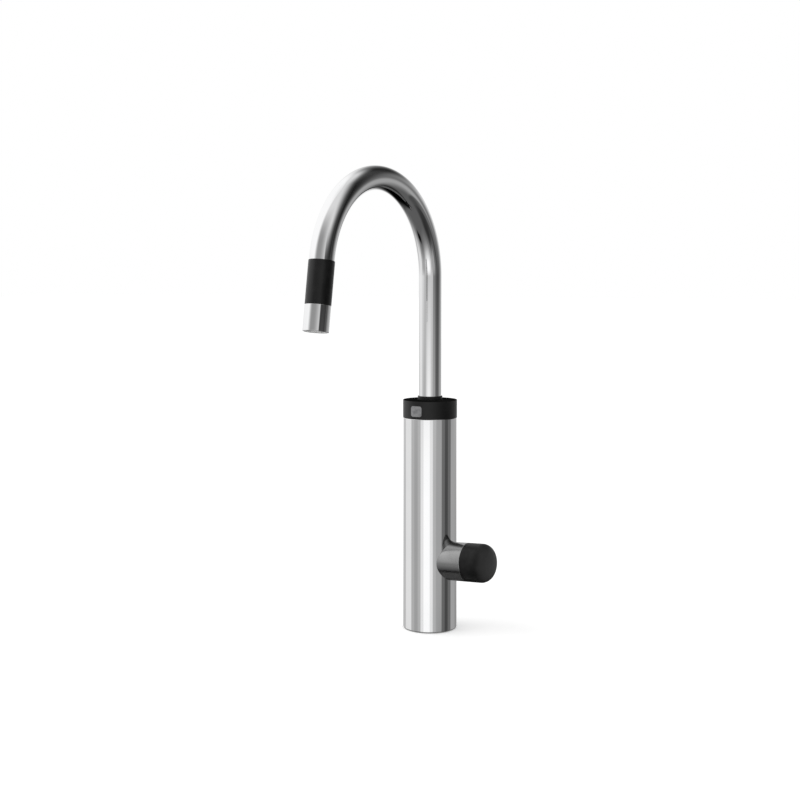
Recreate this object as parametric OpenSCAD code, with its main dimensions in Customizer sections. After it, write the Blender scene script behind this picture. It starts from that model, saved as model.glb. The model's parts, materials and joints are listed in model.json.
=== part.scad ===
// Deck-mounted drinking-water faucet with its filter inside the body.
// The deck is the plane z = 0, +Z is up, the spout reaches towards -Y and the handle points to +X.
// Every size is in millimetres. Diameters end in _d, lengths in _l, thicknesses in _t.

/* [Foot] */
// Thickness of the rubber ring between the body and the deck
gasket_t = 0.8; // [0.8:0.1:2]
// Width of the rubber ring
gasket_w = 4.4; // [3.5:0.1:5]
// How far the rubber ring stays inside the edge of the body
gasket_inset = 0.6; // [0.2:0.1:1.5]
// Height of the brass base block
base_h = 22; // [20:1:28]
// Tapping size of the water inlet, M10x1
inlet_d = 9; // [8.5:0.1:10]
// Depth of the inlet thread
inlet_depth = 12; // [9:0.5:12]
// Tapping size of the two fixing holes, M6
stud_d = 5; // [4:0.1:6]
// Depth of the fixing holes
stud_depth = 14; // [8:0.5:17]
// Wall between a fixing hole and the step for the rubber ring
stud_wall = 1.35; // [1:0.05:2]

/* [Body] */
// Outer diameter of the body and the collar
body_d = 50; // [45:0.5:58]
// Wall of the body shell
shell_t = 1.6; // [1:0.1:2]
// Height of the top of the body shell above the deck
body_top_z = 196; // [180:1:230]
// Small bevel on the visible edges
edge = 0.4; // [0.2:0.1:0.8]

/* [Collar] */
// Height of the black collar
collar_h = 16.4; // [16:0.2:20]
// Wall of the collar
collar_t = 2; // [1.6:0.1:2.2]
// Thickness of the top of the collar
collar_top_t = 2.2; // [1.6:0.1:2.4]
// Width of the window in the collar
window_w = 11.5; // [8:0.5:12]
// Height of the window in the collar
window_h = 10; // [8:0.5:10]
// Corner radius of the window
window_r = 2.2; // [1:0.1:3]

/* [Spout] */
// Outer diameter of the spout tube
spout_d = 21; // [19:0.1:24]
// Wall of the spout tube
spout_t = 1.2; // [1:0.1:1.5]
// Length of the straight leg of the spout, below the bend
leg_l = 115; // [80:1:170]
// Radius of the bend, at the middle of the tube
bend_r = 85; // [60:1:110]
// Angle of the bend
bend_angle = 171.5; // [150:0.5:180]
// Height of the dark bush above the collar
bush_proud = 3.4; // [2:0.2:6]
// Wall of the dark bush round the tube
bush_t = 0.85; // [0.6:0.05:1.2]

/* [Outlet] */
// How far the black sleeve stands out from the tube
sleeve_proud = 0.4; // [0.3:0.1:1.5]
// Length of the black sleeve
sleeve_l = 36.5; // [24:0.5:44]
// How far the polished nozzle stands out from the tube
tip_proud = 0.4; // [0:0.1:1.5]
// Length of the polished nozzle
tip_l = 22; // [20:0.5:30]
// Length of thread that the nozzle screws onto
tip_thread_l = 9; // [6:0.5:10]
// Length of the aerator housing
aerator_l = 10; // [9:0.5:10.5]

/* [Handle] */
// Height of the handle where its axis crosses the body axis
handle_z = 63; // [60:0.5:76]
// Upward lean of the handle, in degrees
handle_tilt = 3; // [0:0.5:5]
// Outer diameter of the polished hub
hub_d = 35.2; // [30:0.2:38]
// How far the hub stands out from the body
hub_l = 16.3; // [14.5:0.1:19]
// Thickness of the front wall of the hub
hub_wall = 2; // [1.2:0.1:2.2]
// Diameter of the black knob
knob_d = 35.2; // [34:0.2:38]
// Length of the black knob
knob_l = 25; // [23:0.2:30]
// Radius of the knob's rounded end edge
knob_corner_r = 10; // [8:0.5:15.5]
// Radius of the knob's domed end
knob_dome_r = 38; // [28:1:80]
// Wall of the knob
knob_wall = 2.4; // [2:0.1:3]
// Turn of the knob from shut to fully open, in degrees
knob_turn = 90; // [80:5:120]

/* [Valve] */
// Room between the valve body and the shell
valve_room = 4.4; // [3:0.1:5.2]
// How far the valve body reaches below the handle axis
valve_below = 20; // [18:0.5:24]
// How far the valve body reaches above the handle axis
valve_above = 22; // [21:0.5:26]
// Wall of the barrel that passes through the shell
barrel_t = 2; // [1.6:0.1:2.4]
// Room for water between the barrel and the headwork
chamber_room = 1; // [0.6:0.1:1.2]
// Wall of the headwork round the discs
nose_t = 1.2; // [1:0.1:1.5]
// Distance from the body axis to the face that the disc seal sits on
seat_w = 2.3; // [1.5:0.1:2.6]
// Diameter of the ceramic discs
disc_d = 15.3; // [14.6:0.1:15.6]
// Thickness of the fixed ceramic disc
fixed_disc_t = 3.6; // [3:0.1:4]
// Thickness of the turning ceramic disc
turning_disc_t = 2.8; // [2.4:0.1:3.2]
// Diameter of the valve stem
stem_d = 8; // [7.4:0.1:8.6]
// Length of the stem inside the knob
stem_in_knob_l = 12; // [10:0.5:13]
// Distance from the stem axis to its driving flat
stem_flat = 3; // [2.6:0.1:3.4]

/* [Water way] */
// Outer diameter of the inlet tube
tube_d = 12; // [11:0.5:13]
// Wall of the inlet tube
tube_t = 1; // [0.8:0.1:1.5]
// Depth of the sockets that hold the inlet tube
tube_socket_l = 8; // [7:0.5:8]
// Diameter of the drilled water ways
way_d = 8; // [6:0.5:8.5]

/* [Filter capsule] */
// Room between the filter capsule and the shell
capsule_room = 0.9; // [0.4:0.1:2]
// Wall of the filter capsule
capsule_t = 2; // [1.6:0.1:2.2]
// Thickness of the capsule's floor and of its lid
capsule_end_t = 4; // [3:0.5:5]
// Diameter of the capsule's lower spigot
spigot_d = 29.8; // [28:0.1:30.4]
// Length of the capsule's lower spigot
spigot_l = 6; // [5:0.5:7]
// Diameter of the capsule's upper nipple
nipple_d = 16; // [15:0.5:17]
// Length of the capsule's upper nipple
nipple_l = 7; // [6:0.5:7.5]
// Room for water between the filter element and the capsule
flow_room = 1.5; // [1:0.1:3]
// Bore of the carbon block
carbon_bore_d = 12; // [11.5:0.5:14]
// Thickness of the fleece round the carbon block
fleece_t = 1; // [0.6:0.1:1.2]
// Thickness of the end discs of the filter element
end_disc_t = 3; // [2:0.5:4]
// Height of the feet under the filter element
foot_l = 2; // [1:0.5:4]

/* [Head] */
// Length of the head block inside the shell
head_l = 12; // [12:0.5:16]
// Wall of the post that carries the spout
post_t = 3; // [2.6:0.1:4]
// Thickness of the washer under the spout spigot
washer_t = 1; // [0.6:0.1:1.4]

/* [Fits] */
// Radial clearance where one piece turns in another
run_fit = 0.05; // [0.02:0.01:0.08]
// Radial clearance where one piece is seated in another
seat_fit = 0.15; // [0.1:0.01:0.2]
// Gap between faces that pass each other
face_gap = 0.3; // [0.2:0.05:0.5]
// Section of the large round seals
seal_t = 2; // [1.6:0.1:2.2]
// Section of the small round seals
small_seal_t = 1.3; // [1:0.1:1.5]

/* [Hidden] */
$fn = 96;

// Colours of the finishes
chrome = "Gainsboro";
black = [0.08, 0.08, 0.09];
rubber = [0.15, 0.15, 0.16];
brass = "Goldenrod";
steel = "Silver";
white = "WhiteSmoke";

// Radial play of a round seal in its groove
seal_gap = 0.05;
// Spare width of a seal groove
groove_spare = 0.6;

// Bore of the shell, and what is seated in it
shell_bore_d = body_d - 2 * shell_t;
shell_fit_d = shell_bore_d - 2 * seat_fit;
collar_bore_d = body_d - 2 * collar_t;
spout_bore_d = spout_d - 2 * spout_t;

// Depth that a cut runs past the face it opens, and that a joined shape runs into its neighbour
past = 1;
// Gap under a piece that stands on another
stand_gap = 0.05;
// Facets of the round seals and of other small rounds
fine = 32;
// Largest angle between two points of a wedge's arc
wedge_step = 15;

// Foot
gasket_bore_d = body_d - 2 * gasket_inset - 2 * gasket_w;
base_step_d = gasket_bore_d - 2 * seat_fit;
stud_pitch = base_step_d - stud_d - 2 * stud_wall;
base_seal_z = base_h / 2;
tube_socket_d = tube_d + 2 * seat_fit;
tube_bottom_z = base_h - tube_socket_l + face_gap;

// Valve, measured along the handle axis from the body axis
valve_d = shell_bore_d - 2 * valve_room;
valve_bottom_z = handle_z - valve_below;
valve_top_z = handle_z + valve_above;
tube_top_z = valve_bottom_z + tube_socket_l - face_gap;
tube_seal_inset = 3;
pocket_room = 2;
pocket_l = spigot_l + pocket_room;
pocket_d = spigot_d + 2 * seat_fit;
outlet_way_d = 6;
outlet_way_inset = 0.5;
outlet_way_x = pocket_d / 2 - outlet_way_d / 2 - outlet_way_inset;
cavity_d = disc_d + 2 * seat_fit;
nose_d = cavity_d + 2 * nose_t;
nose_gap = 0.5;
nose_w = seat_w + nose_gap;
nose_end_w = 20;
chamber_d = nose_d + 2 * chamber_room;
barrel_d = chamber_d + 2 * barrel_t;
shoulder_t = 3;
shoulder_d = barrel_d + 2 * shoulder_t;
seal_w = seat_w + seat_fit;
disc_seal_t = 2;
// How far a washer stays back from the water way in it
washer_inset = 1;
fixed_disc_w = seal_w + disc_seal_t + run_fit;
turning_disc_w = fixed_disc_w + fixed_disc_t + run_fit;
driver_w = turning_disc_w + turning_disc_t + run_fit;
driver_t = 3.5;
driver_lug_l = 1.5;
driver_lug_d = 2.6;
driver_lug_inset = 0.8;
driver_lug_r = disc_d / 2 - driver_lug_d / 2 - driver_lug_inset;
driver_slot_w = 4;
disc_rim = 2.45;
disc_opening_r = disc_d / 2 - disc_rim;
disc_opening_half = 38;
disc_web_d = 3;
cavity_end_w = driver_w + driver_t + face_gap;
hex_t = 3;
hex_d = barrel_d - 2 * face_gap;
neck_t = 2.5;
neck_d = stem_d + 2 * neck_t;
neck_out = 2;
port_w = 6;
port_l = 5;
hub_end = body_d / 2 + hub_l;
stop_t = 2.2;
stop_room = 0.8;
stop_w = hub_end - hub_wall - stop_t - stop_room;
neck_end_w = stop_w - face_gap;
barrel_end = neck_end_w - neck_out - hex_t;
headwork_seal_inset = 3;
headwork_seal_w = barrel_end - headwork_seal_inset;
stop_rim = 1.5;
stop_d = barrel_d - 2 * stop_rim;
stop_lug_in = neck_d / 2 + stop_rim;
stop_lug_angle = 16;
stop_play = 1.5;
stem_bore_d = stem_d + 2 * run_fit;
stem_seal_first = 6;
stem_seal_pitch = 5;
stem_seal_w = [for (i = [0, 1]) cavity_end_w + stem_seal_first + i * stem_seal_pitch];

// Knob
knob_w = hub_end + face_gap;
corner_steps = 8;
dome_steps = 5;
stem_end_w = knob_w + stem_in_knob_l;
insert_t = 1.5;
insert_d = stem_d + 2 * insert_t;
boss_t = 2.5;
boss_d = insert_d + 2 * boss_t;
boss_inset = 0.5;
knob_cavity_l = 13.5;
screw_d = 4;
screw_l = 5;
screw_key_d = 2.3;
screw_key_l = 2;
screw_w = knob_w + stem_in_knob_l / 2;

// Filter capsule
capsule_d = shell_bore_d - 2 * capsule_room;
capsule_z = valve_top_z + face_gap;
capsule_bore_d = capsule_d - 2 * capsule_t;
capsule_floor_z = capsule_z + capsule_end_t;
head_bottom_z = body_top_z - head_l;
lid_top_z = head_bottom_z - face_gap;
lid_z = lid_top_z - capsule_end_t;
lid_plug_l = 3;
element_z = capsule_floor_z + foot_l;
element_top_z = lid_z - lid_plug_l - face_gap;
carbon_z = element_z + end_disc_t;
carbon_l = element_top_z - end_disc_t - carbon_z;
end_disc_d = capsule_bore_d - 2 * flow_room;
carbon_d = end_disc_d - 2 * fleece_t;
element_neck_d = 9;
element_neck_out = 3.5;
element_neck_room = 0.5;
element_neck_l = lid_plug_l + face_gap + element_neck_out;
element_way_d = 5.6;
core_d = carbon_bore_d - 2 * seat_fit;
core_t = 1;
core_rows = 9;
core_hole_d = 2.4;
core_seal_share = 0.75;
core_seal_t = core_seal_share * small_seal_t;
core_seal_inset = 2;
foot_d = 5;
foot_inset = 4;

// Head and collar
collar_top_z = body_top_z + collar_h;
bush_flange_t = 1.1;
post_top_z = collar_top_z - collar_top_t - bush_flange_t - 2 * stand_gap;
nipple_socket_d = nipple_d + 2 * seat_fit;
spigot_step = 0.1;
spout_spigot_d = spout_d - 2 * spigot_step;
spout_socket_d = spout_spigot_d + 2 * run_fit;
post_d = spout_socket_d + 2 * post_t;
spout_socket_inset = 2;
spout_socket_z = body_top_z - spout_socket_inset;
spout_spigot_z = spout_socket_z + washer_t + run_fit;
spout_seal_first = 3;
spout_seal_pitch = 3.5;
spout_seal_z = [for (i = [0, 1]) spout_spigot_z + spout_seal_first + i * spout_seal_pitch];
clip_inset = 2.8;
clip_z = post_top_z - clip_inset;
clip_t = 1.4;
clip_play = 0.2;
clip_bite = 0.7;
spout_foot_inset = 1.4;
spout_foot_z = collar_top_z - spout_foot_inset;
spring_z = spout_foot_z + leg_l;
spout_neck_l = 10;
spout_way_d = 13;
bush_bore_d = spout_d + 2 * run_fit;
bush_d = bush_bore_d + 2 * bush_t;
bush_flange_inset = 0.5;
bush_flange_d = post_d - 2 * bush_flange_inset;
collar_boss_l = 5;
collar_boss_t = 1.5;

// Indicator
window_z = (body_top_z + collar_top_z - collar_top_t) / 2;
lens_recess = 0.15;
lens_flange = 1;
lens_flange_t = 0.8;
light_d = 3;
light_l = 0.8;
cell_d = 10;
cell_t = 1.6;
board_t = 0.8;
board_w = 14;
board_margin = 1.1;
board_h = collar_h - collar_top_t - 2 * board_margin;
carrier_w = 15.5;
carrier_back_t = 0.5;
board_y = collar_bore_d / 2 - lens_flange_t - face_gap - light_l - board_t;
cell_y = board_y - cell_t - 2 * stand_gap;
cell_lift = 0.6;
cell_z = body_top_z + cell_d / 2 + cell_lift;

// Outlet
sleeve_d = spout_d + 2 * sleeve_proud;
tip_d = spout_d + 2 * tip_proud;
adapter_d = spout_bore_d - 2 * seat_fit;
adapter_in_l = 5;
// How far the bend curves away from the straight end of the adapter inside it
bend_relief = adapter_in_l * adapter_in_l / (2 * bend_r);
adapter_way_d = 12.6;
nozzle_seal_t = 0.6;
nozzle_seal_w = 0.6;
tip_bore_d = adapter_d + 2 * seat_fit;
adapter_l = sleeve_l + tip_thread_l;
aerator_gasket_t = 2;
aerator_w = adapter_l + aerator_gasket_t;
aerator_d = adapter_d;
aerator_t = 1.5;
aerator_bore_d = aerator_d - 2 * aerator_t;
aerator_lip_t = 1;
aerator_lip_in = 1;
aerator_core_t = 3;
screen_t = 1;
screen_pitch = 1.8;
screen_bar = 0.5;
core_jets = 12;
core_jet_d = 1.4;
core_jet_r = aerator_bore_d / 3;
core_inset = 1;

// A round piece with a hole through its middle
module ring(outer_d, inner_d, h) {
    difference() {
        cylinder(d = outer_d, h = h);
        translate([0, 0, -past]) cylinder(d = inner_d, h = h + 2 * past);
    }
}

// A round bar with a bevel at its lower and its upper edge
module bevelled(d, h, low, high) {
    rotate_extrude()
        polygon([[0, 0], [d / 2 - low, 0], [d / 2, low], [d / 2, h - high], [d / 2 - high, h], [0, h]]);
}

// A round seal on a piece that sits in a bore of wall_d
module seal(wall_d, section) {
    rotate_extrude()
        translate([wall_d / 2 - seal_gap - section / 2, 0]) circle(d = section, $fn = fine);
}

// The groove for that seal
module seal_groove(wall_d, section) {
    w = section + groove_spare;
    translate([0, 0, -w / 2]) ring(wall_d + 2, wall_d - 2 * section - 4 * seal_gap, w);
}

// A round seal in the wall of a bore, round a shaft of shaft_d
module shaft_seal(shaft_d, section) {
    rotate_extrude()
        translate([shaft_d / 2 + seal_gap + section / 2, 0]) circle(d = section, $fn = fine);
}

// The groove for that seal
module shaft_groove(shaft_d, section) {
    w = section + groove_spare;
    translate([0, 0, -w / 2]) ring(shaft_d + 2 * section + 4 * seal_gap, shaft_d - 1, w);
}

// A wedge from the axis out to radius r, from angle a0 to angle a1
module wedge(r, a0, a1, h) {
    steps = ceil((a1 - a0) / wedge_step);
    linear_extrude(h)
        polygon(concat([[0, 0]],
            [for (i = [0 : steps]) let (a = a0 + (a1 - a0) * i / steps) [r * cos(a), r * sin(a)]]));
}

// A round shaft with one flat towards +X, and the same shape grown by play
module flatted(d, flat, h, play = 0) {
    intersection() {
        cylinder(d = d + 2 * play, h = h);
        translate([flat + play - d - 1, -d, -past]) cube([d + 1, 2 * d, h + 2]);
    }
}

// A plate of w by h with rounded corners, standing in the XZ plane and t thick along +Y
module rounded_plate(w, h, r, t) {
    rotate([90, 0, 0]) translate([0, 0, -t]) union() {
        linear_extrude(t) square([w - 2 * r, h], center = true);
        linear_extrude(t) square([w, h - 2 * r], center = true);
        for (x = [-1, 1], z = [-1, 1])
            translate([x * (w / 2 - r), z * (h / 2 - r), 0]) cylinder(r = r, h = t);
    }
}

// Local +Z runs along the handle, away from the body
module at_handle(w = 0) {
    translate([0, 0, handle_z]) rotate([0, 90 - handle_tilt, 0]) translate([0, 0, w]) children();
}

// Local +Z runs with the water, from the end of the bend
module at_outlet(w = 0) {
    translate([0, bend_r * (cos(bend_angle) - 1), spring_z + bend_r * sin(bend_angle)])
        rotate([bend_angle, 0, 0]) translate([0, 0, w]) children();
}

module deck_gasket() {
    color(rubber) ring(body_d - 2 * gasket_inset, gasket_bore_d, gasket_t);
}

module base_block() {
    color(brass) difference() {
        cylinder(d = shell_fit_d, h = base_h);
        translate([0, 0, -past]) ring(body_d + 2, base_step_d, gasket_t + past);
        translate([0, 0, -past]) cylinder(d = inlet_d, h = inlet_depth + past);
        translate([0, 0, 1]) cylinder(d = way_d, h = base_h);
        translate([0, 0, base_h - tube_socket_l]) cylinder(d = tube_socket_d, h = tube_socket_l + past);
        translate([0, 0, base_h - tube_seal_inset]) shaft_groove(tube_d, small_seal_t);
        for (side = [-1, 1])
            translate([0, side * stud_pitch / 2, -past]) cylinder(d = stud_d, h = stud_depth + past);
        translate([0, 0, base_seal_z]) seal_groove(shell_bore_d, seal_t);
    }
}

module base_seal() {
    color(rubber) translate([0, 0, base_seal_z]) seal(shell_bore_d, seal_t);
}

module inlet_tube() {
    color("Peru") translate([0, 0, tube_bottom_z])
        ring(tube_d, tube_d - 2 * tube_t, tube_top_z - tube_bottom_z);
}

module inlet_tube_seals() {
    color(rubber) for (z = [base_h - tube_seal_inset, valve_bottom_z + tube_seal_inset])
        translate([0, 0, z]) shaft_seal(tube_d, small_seal_t);
}

module body_shell() {
    color(chrome) difference() {
        translate([0, 0, gasket_t]) bevelled(body_d, body_top_z - gasket_t, edge, edge);
        translate([0, 0, gasket_t - past]) cylinder(d = shell_bore_d, h = body_top_z - gasket_t + 2 * past);
        at_handle() cylinder(d = barrel_d + 2 * seat_fit, h = body_d);
    }
}

module valve_body() {
    color(brass) difference() {
        union() {
            translate([0, 0, valve_bottom_z]) cylinder(d = valve_d, h = valve_top_z - valve_bottom_z);
            intersection() {
                at_handle() cylinder(d = shoulder_d, h = body_d);
                translate([0, 0, valve_bottom_z]) cylinder(d = shell_fit_d, h = 2 * valve_above);
            }
            at_handle() cylinder(d = barrel_d, h = barrel_end);
        }
        at_handle(seat_w) cylinder(d = chamber_d, h = barrel_end);
        at_handle(-way_d / 2) cylinder(d = way_d, h = seat_w + way_d);
        translate([0, 0, valve_bottom_z - past]) cylinder(d = way_d, h = valve_below + past);
        translate([0, 0, valve_bottom_z - past]) cylinder(d = tube_socket_d, h = tube_socket_l + past);
        translate([0, 0, valve_bottom_z + tube_seal_inset]) shaft_groove(tube_d, small_seal_t);
        translate([0, 0, valve_top_z - pocket_l]) cylinder(d = pocket_d, h = pocket_l + past);
        translate([outlet_way_x, 0, handle_z + way_d / 2])
            cylinder(d = outlet_way_d, h = valve_above - way_d / 2 - past);
    }
}

module headwork() {
    color(brass) at_handle() difference() {
        union() {
            translate([0, 0, nose_w]) cylinder(d = nose_d, h = nose_end_w - nose_w);
            translate([0, 0, nose_end_w])
                cylinder(d = chamber_d - 2 * seat_fit, h = barrel_end - nose_end_w);
            translate([0, 0, barrel_end]) cylinder(d = hex_d, h = hex_t, $fn = 6);
            translate([0, 0, barrel_end]) cylinder(d = neck_d, h = neck_end_w - barrel_end);
            translate([0, 0, barrel_end + hex_t]) stop_lug(stop_w + stop_t - barrel_end - hex_t);
        }
        translate([0, 0, nose_w - past]) cylinder(d = cavity_d, h = cavity_end_w - nose_w + past);
        cylinder(d = stem_bore_d, h = neck_end_w + past);
        translate([0, 0, headwork_seal_w]) seal_groove(chamber_d, small_seal_t);
        translate([-port_w / 2, -nose_d, driver_w - port_l / 2]) cube([port_w, 2 * nose_d, port_l]);
    }
}

// The lug that limits the turn of the knob
module stop_lug(h) {
    intersection() {
        ring(stop_d, 2 * stop_lug_in, h);
        wedge(stop_d, -stop_lug_angle / 2, stop_lug_angle / 2, h);
    }
}

module headwork_seal() {
    color(rubber) at_handle(headwork_seal_w) seal(chamber_d, small_seal_t);
}

module disc_seal() {
    color(rubber) at_handle(seal_w) ring(disc_d, way_d + 2 * washer_inset, disc_seal_t);
}

// Two openings opposite each other, through a ceramic disc of thickness t
module disc_openings(turn, t) {
    for (side = [0, 180]) rotate([0, 0, side + turn]) translate([0, 0, -past]) difference() {
        wedge(disc_opening_r, -disc_opening_half, disc_opening_half, t + 2 * past);
        translate([0, 0, -past]) cylinder(d = disc_web_d, h = t + 4 * past);
    }
}

module fixed_disc() {
    color("White") at_handle(fixed_disc_w) difference() {
        cylinder(d = disc_d, h = fixed_disc_t);
        disc_openings(0, fixed_disc_t);
    }
}

module turning_disc() {
    color("Ivory") at_handle(turning_disc_w) difference() {
        cylinder(d = disc_d - 2 * seat_fit, h = turning_disc_t);
        disc_openings(90, turning_disc_t);
        for (side = [0, 180]) rotate([0, 0, side])
            translate([driver_lug_r, 0, turning_disc_t - driver_lug_l - seat_fit])
                cylinder(d = driver_lug_d + 2 * seat_fit, h = driver_lug_l + past, $fn = fine);
    }
}

module valve_stem() {
    color(brass) at_handle() difference() {
        union() {
            translate([0, 0, driver_w]) cylinder(d = disc_d - 2 * seat_fit, h = driver_t);
            for (side = [0, 180]) rotate([0, 0, side])
                translate([driver_lug_r, 0, driver_w - driver_lug_l])
                    cylinder(d = driver_lug_d, h = driver_lug_l + driver_t / 2, $fn = fine);
            translate([0, 0, driver_w]) cylinder(d = stem_d, h = neck_end_w - driver_w);
            translate([0, 0, neck_end_w]) flatted(stem_d, stem_flat, stem_end_w - neck_end_w);
        }
        for (w = stem_seal_w) translate([0, 0, w]) seal_groove(stem_bore_d, small_seal_t);
        translate([-driver_slot_w / 2, -disc_d, driver_w - past])
            cube([driver_slot_w, 2 * disc_d, driver_t / 2 + past]);
    }
}

module stem_seals() {
    color(rubber) for (w = stem_seal_w) at_handle(w) seal(stem_bore_d, small_seal_t);
}

module stop_ring() {
    color(steel) at_handle(stop_w) difference() {
        cylinder(d = stop_d, h = stop_t);
        translate([0, 0, -past]) flatted(stem_d, stem_flat, stop_t + 2, run_fit);
        translate([0, 0, -past]) difference() {
            wedge(stop_d, -knob_turn - stop_lug_angle / 2 - stop_play, stop_lug_angle / 2 + stop_play,
                stop_t + 2 * past);
            translate([0, 0, -past]) cylinder(r = stop_lug_in - face_gap, h = stop_t + 4 * past);
        }
    }
}

module hub() {
    color(chrome) difference() {
        at_handle() bevelled(hub_d, hub_end, edge, edge);
        at_handle(-past) cylinder(d = barrel_d + 2 * seat_fit, h = hub_end - hub_wall + past);
        at_handle() cylinder(d = stem_d + 2 * face_gap, h = hub_end + past);
        cylinder(d = body_d + 2 * run_fit, h = body_top_z);
    }
}

// Half outline of the knob: straight side, rounded edge and domed end
module knob_outline() {
    r = knob_d / 2;
    dome_z = knob_l - knob_dome_r;
    reach = knob_dome_r - knob_corner_r;
    corner_z = dome_z + sqrt(reach * reach - (r - knob_corner_r) * (r - knob_corner_r));
    touch = atan2(corner_z - dome_z, r - knob_corner_r);
    polygon(concat([[0, 0], [r - edge, 0], [r, edge]],
        [for (i = [0 : corner_steps]) let (a = touch * i / corner_steps)
            [r - knob_corner_r + knob_corner_r * cos(a), corner_z + knob_corner_r * sin(a)]],
        [for (i = [1 : dome_steps]) let (a = touch + (90 - touch) * i / dome_steps)
            [knob_dome_r * cos(a), dome_z + knob_dome_r * sin(a)]]));
}

module knob() {
    color(black) at_handle(knob_w) difference() {
        rotate_extrude() knob_outline();
        translate([0, 0, -past]) difference() {
            cylinder(d = knob_d - 2 * knob_wall, h = knob_cavity_l + past);
            translate([0, 0, boss_inset + past]) cylinder(d = boss_d, h = knob_cavity_l + past);
        }
        translate([0, 0, -past]) cylinder(d = insert_d + 2 * seat_fit, h = stem_in_knob_l + 2 * past);
        translate([0, 0, screw_w - knob_w]) rotate([0, 90, 0])
            cylinder(d = screw_d + 2 * seat_fit, h = knob_d);
    }
}

module knob_insert() {
    color(brass) at_handle(knob_w + boss_inset) difference() {
        cylinder(d = insert_d, h = stem_in_knob_l);
        translate([0, 0, -past])
            flatted(stem_d, stem_flat, stem_in_knob_l - boss_inset + seat_fit + past, seat_fit);
        translate([0, 0, screw_w - knob_w - boss_inset]) rotate([0, 90, 0])
            cylinder(d = screw_d + 2 * seat_fit, h = insert_d);
    }
}

module knob_screw() {
    color(steel) at_handle(screw_w) rotate([0, 90, 0]) translate([0, 0, stem_flat + run_fit])
        difference() {
            cylinder(d = screw_d, h = screw_l);
            translate([0, 0, screw_l - screw_key_l])
                cylinder(d = screw_key_d, h = screw_key_l + past, $fn = 6);
        }
}

module capsule_housing() {
    color(white) difference() {
        union() {
            translate([0, 0, capsule_z]) cylinder(d = capsule_d, h = lid_z - capsule_z);
            translate([0, 0, capsule_z - spigot_l]) cylinder(d = spigot_d, h = spigot_l + past);
        }
        translate([0, 0, capsule_floor_z]) cylinder(d = capsule_bore_d, h = lid_z);
        translate([0, 0, capsule_z - spigot_l - past])
            cylinder(d = way_d, h = spigot_l + capsule_end_t + 2 * past);
        translate([0, 0, capsule_z - spigot_l / 2]) seal_groove(pocket_d, seal_t);
    }
}

module capsule_lower_seal() {
    color(rubber) translate([0, 0, capsule_z - spigot_l / 2]) seal(pocket_d, seal_t);
}

module capsule_lid() {
    color(white) difference() {
        union() {
            translate([0, 0, lid_z]) cylinder(d = capsule_d, h = capsule_end_t);
            translate([0, 0, lid_z - lid_plug_l])
                cylinder(d = capsule_bore_d - 2 * seat_fit, h = lid_plug_l + past);
            translate([0, 0, lid_top_z - past]) cylinder(d = nipple_d, h = nipple_l + past);
        }
        translate([0, 0, lid_z - lid_plug_l - past])
            cylinder(d = element_neck_d + 2 * seat_fit, h = element_neck_l + past + element_neck_room);
        translate([0, 0, lid_z]) cylinder(d = element_way_d, h = capsule_end_t + nipple_l + past);
        translate([0, 0, lid_top_z + nipple_l / 2]) seal_groove(nipple_socket_d, seal_t);
    }
}

module capsule_upper_seal() {
    color(rubber) translate([0, 0, lid_top_z + nipple_l / 2]) seal(nipple_socket_d, seal_t);
}

module carbon_block() {
    color([0.12, 0.12, 0.12]) translate([0, 0, carbon_z]) ring(carbon_d, carbon_bore_d, carbon_l);
}

module fleece_wrap() {
    color("Linen") translate([0, 0, carbon_z])
        ring(end_disc_d, end_disc_d - 2 * fleece_t + 2 * run_fit, carbon_l);
}

module core_tube() {
    pitch = carbon_l / (core_rows + past);
    color(white) translate([0, 0, carbon_z]) difference() {
        ring(core_d, core_d - 2 * core_t, carbon_l);
        for (row = [1 : core_rows]) translate([0, 0, row * pitch]) rotate([90, 0, row * 90])
            translate([0, 0, -core_d]) cylinder(d = core_hole_d, h = 2 * core_d, $fn = fine);
    }
}

module lower_end_disc() {
    color(white) translate([0, 0, element_z]) union() {
        cylinder(d = end_disc_d, h = end_disc_t);
        for (turn = [45 : 90 : 315]) rotate([0, 0, turn])
            translate([end_disc_d / 2 - foot_inset, 0, -foot_l])
                cylinder(d = foot_d, h = foot_l + end_disc_t / 2, $fn = fine);
    }
}

module upper_end_disc() {
    color(white) translate([0, 0, element_top_z - end_disc_t]) difference() {
        union() {
            cylinder(d = end_disc_d, h = end_disc_t);
            cylinder(d = element_neck_d, h = end_disc_t + element_neck_l);
        }
        translate([0, 0, -past]) cylinder(d = element_way_d, h = end_disc_t + element_neck_l + 2 * past);
        translate([0, 0, end_disc_t + element_neck_l - core_seal_inset])
            seal_groove(element_neck_d + 2 * seat_fit, core_seal_t);
    }
}

module core_seal() {
    color(rubber) translate([0, 0, element_top_z + element_neck_l - core_seal_inset])
        seal(element_neck_d + 2 * seat_fit, core_seal_t);
}

module head_block() {
    color(brass) difference() {
        union() {
            translate([0, 0, head_bottom_z]) cylinder(d = shell_fit_d, h = head_l);
            translate([0, 0, body_top_z - past]) cylinder(d = post_d, h = post_top_z - body_top_z + past);
        }
        translate([0, 0, head_bottom_z - past]) cylinder(d = nipple_socket_d, h = nipple_l + past + face_gap);
        translate([0, 0, head_bottom_z]) cylinder(d = way_d, h = head_l);
        translate([0, 0, spout_socket_z]) cylinder(d = spout_socket_d, h = post_top_z);
        translate([0, 0, clip_z - clip_play])
            cylinder(d = spout_socket_d + 2 * clip_bite + 2 * face_gap, h = clip_t + 2 * clip_play);
        translate([0, 0, head_bottom_z + head_l / 2]) seal_groove(shell_bore_d, seal_t);
    }
}

module head_seal() {
    color(rubber) translate([0, 0, head_bottom_z + head_l / 2]) seal(shell_bore_d, seal_t);
}

module thrust_washer() {
    color(white) translate([0, 0, spout_socket_z])
        ring(spout_spigot_d - 2 * seat_fit, way_d + 2 * washer_inset, washer_t);
}

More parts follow.
